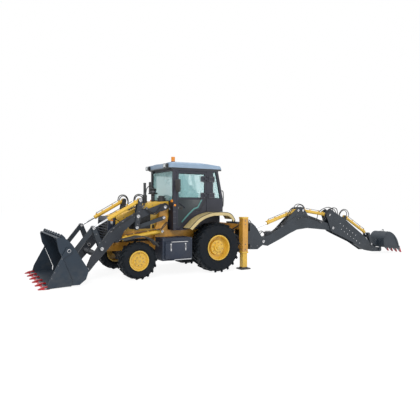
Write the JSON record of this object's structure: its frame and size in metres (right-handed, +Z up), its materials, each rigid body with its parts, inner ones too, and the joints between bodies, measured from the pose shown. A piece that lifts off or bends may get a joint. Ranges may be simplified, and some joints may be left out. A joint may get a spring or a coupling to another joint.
{
  "type": "backhoe loader",
  "caption": "Wheeled backhoe loader: clam bucket on front loader arms, glazed cab, and a side-shift digging arm with a long bucket behind.",
  "frame": {"origin": "on the ground under the middle of the machine's bounding box, standing on its four tyres with the digging arm laid out behind", "axes": "+X forward towards the loader bucket, +Y to the machine's left, +Z up"},
  "size_m": [12.768, 2.38, 3.05],
  "materials": {
    "yellow_paint": "gloss enamel",
    "chassis_paint": "satin enamel",
    "stripe_paint": "satin enamel",
    "dark_paint": "satin enamel, worn at the edges",
    "cab_paint": "satin enamel",
    "roof_paint": "satin enamel",
    "black_plastic": "grained",
    "tyre": "matt rubber",
    "rod_chrome": "polished",
    "pin_steel": "machined",
    "bucket_steel": "satin enamel, scoured inside",
    "casting": "as cast, painted dark",
    "glass": "clear, faintly tinted",
    "seat": "woven cushion",
    "lamp_lens": "clear lens in a dark shell",
    "exhaust_metal": "heat dulled"
  },
  "bodies": {
    "chassis": {"chassis_frame": "chassis_paint", "rear_frame": "chassis_paint", "axles": "casting", "engine_block": "dark_paint", "grille": "black_plastic", "front_fenders": "black_plastic", "side_tanks": "black_plastic", "cab_frame": "cab_paint", "roof": "roof_paint", "cab_glass": "glass", "rear_fenders": "stripe_paint", "operator_station": "black_plastic", "seat_cushion": "seat", "lamps": "lamp_lens"},
    "hood": {"hood": "yellow_paint", "intake_exhaust": "exhaust_metal"},
    "door_left": {"door_left": "cab_paint", "door_glass_left": "glass"},
    "door_right": {"door_right": "cab_paint", "door_glass_right": "glass"},
    "wheel_front_left": {"tyre_front_left": "tyre", "rim_front_left": "yellow_paint"},
    "wheel_front_right": {"tyre_front_right": "tyre", "rim_front_right": "yellow_paint"},
    "wheel_rear_left": {"tyre_rear_left": "tyre", "rim_rear_left": "yellow_paint"},
    "wheel_rear_right": {"tyre_rear_right": "tyre", "rim_rear_right": "yellow_paint"},
    "boom": {"boom": "dark_paint"},
    "boom_barrel": {"boom_barrel": "yellow_paint"},
    "boom_rod": {"boom_rod": "rod_chrome"},
    "bucket_jaw": {"bucket_jaw": "bucket_steel"},
    "bucket_links": {"bucket_links": "dark_paint"},
    "bucket_pins": {"bucket_pins": "pin_steel"},
    "dipper": {"dipper": "dark_paint"},
    "dipper_barrel": {"dipper_barrel": "yellow_paint"},
    "dipper_extension": {"dipper_extension": "dark_paint"},
    "dipper_rod": {"dipper_rod": "rod_chrome"},
    "guide_levers": {"guide_levers": "dark_paint"},
    "guide_pins": {"guide_pins": "pin_steel"},
    "hoe_bucket": {"hoe_bucket": "bucket_steel"},
    "hoe_bucket_barrel": {"hoe_bucket_barrel": "yellow_paint"},
    "hoe_bucket_rod": {"hoe_bucket_rod": "rod_chrome"},
    "hoe_guides": {"hoe_guides": "dark_paint"},
    "hoe_link": {"hoe_link": "dark_paint"},
    "kingpost": {"kingpost": "dark_paint"},
    "knuckle_left": {"knuckle_left": "casting"},
    "knuckle_right": {"knuckle_right": "casting"},
    "levelling_links": {"levelling_links": "dark_paint"},
    "lift_barrels": {"lift_barrels": "yellow_paint"},
    "lift_rods": {"lift_rods": "rod_chrome"},
    "link_pins": {"link_pins": "pin_steel"},
    "loader_arms": {"loader_arms": "dark_paint"},
    "loader_bucket": {"loader_bucket": "bucket_steel"},
    "rear_levers": {"rear_levers": "dark_paint"},
    "side_shift_carriage": {"side_shift_carriage": "dark_paint"},
    "stabilizer_left": {"stabilizer_left": "yellow_paint"},
    "stabilizer_right": {"stabilizer_right": "yellow_paint"},
    "tilt_barrels": {"tilt_barrels": "yellow_paint"},
    "tilt_rods": {"tilt_rods": "rod_chrome"}
  },
  "joints": [
    {"name": "steer_left", "type": "hinge", "parent": "chassis", "child": "knuckle_left", "pos_m": [4.116, 0.7, 0.45], "axis": [0, 0, 1], "range_deg": [-35, 35]},
    {"name": "steer_right", "type": "hinge", "parent": "chassis", "child": "knuckle_right", "pos_m": [4.116, -0.7, 0.45], "axis": [0, 0, 1], "range_deg": [-35.01, 35.01]},
    {"name": "spin_front_left", "type": "hinge", "parent": "knuckle_left", "child": "wheel_front_left", "pos_m": [4.116, 0.9, 0.45], "axis": [0, 1, 0], "continuous": true},
    {"name": "spin_front_right", "type": "hinge", "parent": "knuckle_right", "child": "wheel_front_right", "pos_m": [4.116, -0.9, 0.45], "axis": [0, 1, 0], "continuous": true},
    {"name": "spin_rear_left", "type": "hinge", "parent": "chassis", "child": "wheel_rear_left", "pos_m": [1.916, 0.85, 0.654], "axis": [0, 1, 0], "continuous": true},
    {"name": "spin_rear_right", "type": "hinge", "parent": "chassis", "child": "wheel_rear_right", "pos_m": [1.916, -0.85, 0.654], "axis": [0, 1, 0], "continuous": true},
    {"name": "hood_lift", "type": "hinge", "parent": "chassis", "child": "hood", "pos_m": [4.476, 0, 1.47], "axis": [0, 1, 0], "range_deg": [0, 40]},
    {"name": "door_left_swing", "type": "hinge", "parent": "chassis", "child": "door_left", "pos_m": [2.113, 0.755, 1.9], "axis": [0, 0, 1], "range_deg": [0, 95]},
    {"name": "door_right_swing", "type": "hinge", "parent": "chassis", "child": "door_right", "pos_m": [2.113, -0.755, 1.9], "axis": [0, 0, -1], "range_deg": [0, 95]},
    {"name": "arm_lift", "type": "hinge", "parent": "chassis", "child": "loader_arms", "pos_m": [3.271, 0, 1.728], "axis": [0, -1, 0], "range_deg": [-1.5, 78]},
    {"name": "bucket_tilt", "type": "hinge", "parent": "bucket_pins", "child": "loader_bucket", "pos_m": [5.262, 0, 0.279], "axis": [0, -1, 0], "range_deg": [-50, 40]},
    {"name": "jaw_open", "type": "hinge", "parent": "loader_bucket", "child": "bucket_jaw", "pos_m": [5.761, 0, 0.795], "axis": [0, -1, 0], "range_deg": [0, 75]},
    {"name": "rear_lever_turn", "type": "hinge", "parent": "loader_arms", "child": "rear_levers", "pos_m": [4.008, 0, 1.494], "axis": [0, -1, 0], "range_deg": [-78.01, 1.51]},
    {"name": "levelling_link_turn", "type": "hinge", "parent": "chassis", "child": "levelling_links", "pos_m": [3.301, 0, 1.45], "axis": [0, -1, 0], "range_deg": [-1.51, 78.01]},
    {"name": "lift_barrel_turn", "type": "hinge", "parent": "chassis", "child": "lift_barrels", "pos_m": [3.356, 0, 1.105], "axis": [0, -1, 0], "range_deg": [-1.34, 69.04]},
    {"name": "lift_rod_slide", "type": "slide", "parent": "lift_barrels", "child": "lift_rods", "axis": [0.9886, 0, -0.1504], "range_m": [-0.01451, 0.7542]},
    {"name": "guide_pin_turn", "type": "hinge", "parent": "loader_arms", "child": "guide_pins", "pos_m": [4.907, 0, 0.741], "axis": [0, -1, 0], "range_deg": [-74.5, 1.44]},
    {"name": "guide_lever_turn", "type": "hinge", "parent": "guide_pins", "child": "guide_levers", "pos_m": [4.907, 0, 0.741], "axis": [0, -1, 0], "range_deg": [-50.01, 40.01]},
    {"name": "link_pin_turn", "type": "hinge", "parent": "guide_levers", "child": "link_pins", "pos_m": [5.096, 0, 1.238], "axis": [0, -1, 0], "range_deg": [-1.31, 67.87]},
    {"name": "bucket_link_turn", "type": "hinge", "parent": "link_pins", "child": "bucket_links", "pos_m": [5.096, 0, 1.238], "axis": [0, -1, 0], "range_deg": [-36.81, 46.01]},
    {"name": "tilt_barrel_turn", "type": "hinge", "parent": "rear_levers", "child": "tilt_barrels", "pos_m": [3.951, 0, 1.888], "axis": [0, -1, 0], "range_deg": [-1.28, 66.31]},
    {"name": "tilt_rod_slide", "type": "slide", "parent": "tilt_barrels", "child": "tilt_rods", "axis": [0.8696, 0, -0.4937], "range_m": [-0.33372, 0.41714]},
    {"name": "bucket_pin_turn", "type": "hinge", "parent": "loader_arms", "child": "bucket_pins", "pos_m": [5.262, 0, 0.279], "axis": [0, -1, 0], "range_deg": [-78.01, 1.51]},
    {"name": "stabilizer_left_slide", "type": "slide", "parent": "chassis", "child": "stabilizer_left", "axis": [0, 0, 1], "range_m": [-0.15, 0.37]},
    {"name": "stabilizer_right_slide", "type": "slide", "parent": "chassis", "child": "stabilizer_right", "axis": [0, 0, 1], "range_m": [-0.15, 0.37]},
    {"name": "side_shift", "type": "slide", "parent": "chassis", "child": "side_shift_carriage", "axis": [0, 1, 0], "range_m": [-0.83, 0.23]},
    {"name": "swing", "type": "hinge", "parent": "side_shift_carriage", "child": "kingpost", "pos_m": [0.586, 0.3, 0.85], "axis": [0, 0, 1], "range_deg": [-80, 80]},
    {"name": "boom_lift", "type": "hinge", "parent": "kingpost", "child": "boom", "pos_m": [-0.02, 0.3, 0.681], "axis": [0, 1, 0], "range_deg": [-40, 50]},
    {"name": "boom_barrel_turn", "type": "hinge", "parent": "boom", "child": "boom_barrel", "pos_m": [-1.444, 0.3, 1.6], "axis": [0, -1, 0], "range_deg": [-2.01, 2.51]},
    {"name": "boom_rod_slide", "type": "slide", "parent": "boom_barrel", "child": "boom_rod", "axis": [0.9529, 0, -0.3032], "range_m": [-0.38747, 0.30998]},
    {"name": "dipper_turn", "type": "hinge", "parent": "boom", "child": "dipper", "pos_m": [-2.964, 0.3, 1], "axis": [0, -1, 0], "range_deg": [-3, 100]},
    {"name": "dipper_barrel_turn", "type": "hinge", "parent": "boom", "child": "dipper_barrel", "pos_m": [-1.644, 0.3, 1.6], "axis": [0, -1, 0], "range_deg": [-0.1, 3.01]},
    {"name": "dipper_rod_slide", "type": "slide", "parent": "dipper_barrel", "child": "dipper_rod", "axis": [-0.9906, 0, -0.1366], "range_m": [-0.022, 0.73305]},
    {"name": "dipper_extend", "type": "slide", "parent": "dipper", "child": "dipper_extension", "axis": [-0.8746, 0, -0.4848], "range_m": [0, 1]},
    {"name": "hoe_bucket_turn", "type": "hinge", "parent": "dipper_extension", "child": "hoe_bucket", "pos_m": [-5.384, 0.3, 0.15], "axis": [0, -1, 0], "range_deg": [-5, 130]},
    {"name": "hoe_guide_turn", "type": "hinge", "parent": "dipper_extension", "child": "hoe_guides", "pos_m": [-4.914, 0.3, 0.37], "axis": [0, -1, 0], "range_deg": [-2.66, 68.91]},
    {"name": "hoe_link_turn", "type": "hinge", "parent": "hoe_guides", "child": "hoe_link", "pos_m": [-4.784, 0.3, 0.74], "axis": [0, -1, 0], "range_deg": [-79.31, 3.06]},
    {"name": "hoe_bucket_barrel_turn", "type": "hinge", "parent": "dipper_extension", "child": "hoe_bucket_barrel", "pos_m": [-3.64, 0.3, 1.37], "axis": [0, -1, 0], "range_deg": [-5.21, 0.21]},
    {"name": "hoe_bucket_rod_slide", "type": "slide", "parent": "hoe_bucket_barrel", "child": "hoe_bucket_rod", "axis": [-0.876, 0, -0.4824], "range_m": [-0.01703, 0.44245]}
  ],
  "couplings": [
    {"joint": "steer_right", "follows": "steer_left", "ratio": 1},
    {"joint": "rear_lever_turn", "follows": "arm_lift", "ratio": -1},
    {"joint": "levelling_link_turn", "follows": "arm_lift", "ratio": 1},
    {"joint": "lift_barrel_turn", "follows": "arm_lift", "ratio": 0.885},
    {"joint": "lift_rod_slide", "follows": "arm_lift", "m_per_rad": 0.554},
    {"joint": "guide_pin_turn", "follows": "arm_lift", "ratio": -0.955},
    {"joint": "guide_lever_turn", "follows": "bucket_tilt", "ratio": 1},
    {"joint": "link_pin_turn", "follows": "arm_lift", "ratio": 0.87},
    {"joint": "bucket_link_turn", "follows": "bucket_tilt", "ratio": -0.92},
    {"joint": "tilt_barrel_turn", "follows": "arm_lift", "ratio": 0.85},
    {"joint": "tilt_rod_slide", "follows": "bucket_tilt", "m_per_rad": -0.478},
    {"joint": "bucket_pin_turn", "follows": "arm_lift", "ratio": -1},
    {"joint": "boom_barrel_turn", "follows": "boom_lift", "ratio": 0.05},
    {"joint": "boom_rod_slide", "follows": "boom_lift", "m_per_rad": -0.444},
    {"joint": "dipper_barrel_turn", "follows": "dipper_turn", "ratio": 0.03},
    {"joint": "dipper_rod_slide", "follows": "dipper_turn", "m_per_rad": 0.42},
    {"joint": "hoe_guide_turn", "follows": "hoe_bucket_turn", "ratio": 0.53},
    {"joint": "hoe_link_turn", "follows": "hoe_bucket_turn", "ratio": -0.61},
    {"joint": "hoe_bucket_barrel_turn", "follows": "hoe_bucket_turn", "ratio": -0.04},
    {"joint": "hoe_bucket_rod_slide", "follows": "hoe_bucket_turn", "m_per_rad": 0.195}
  ]
}
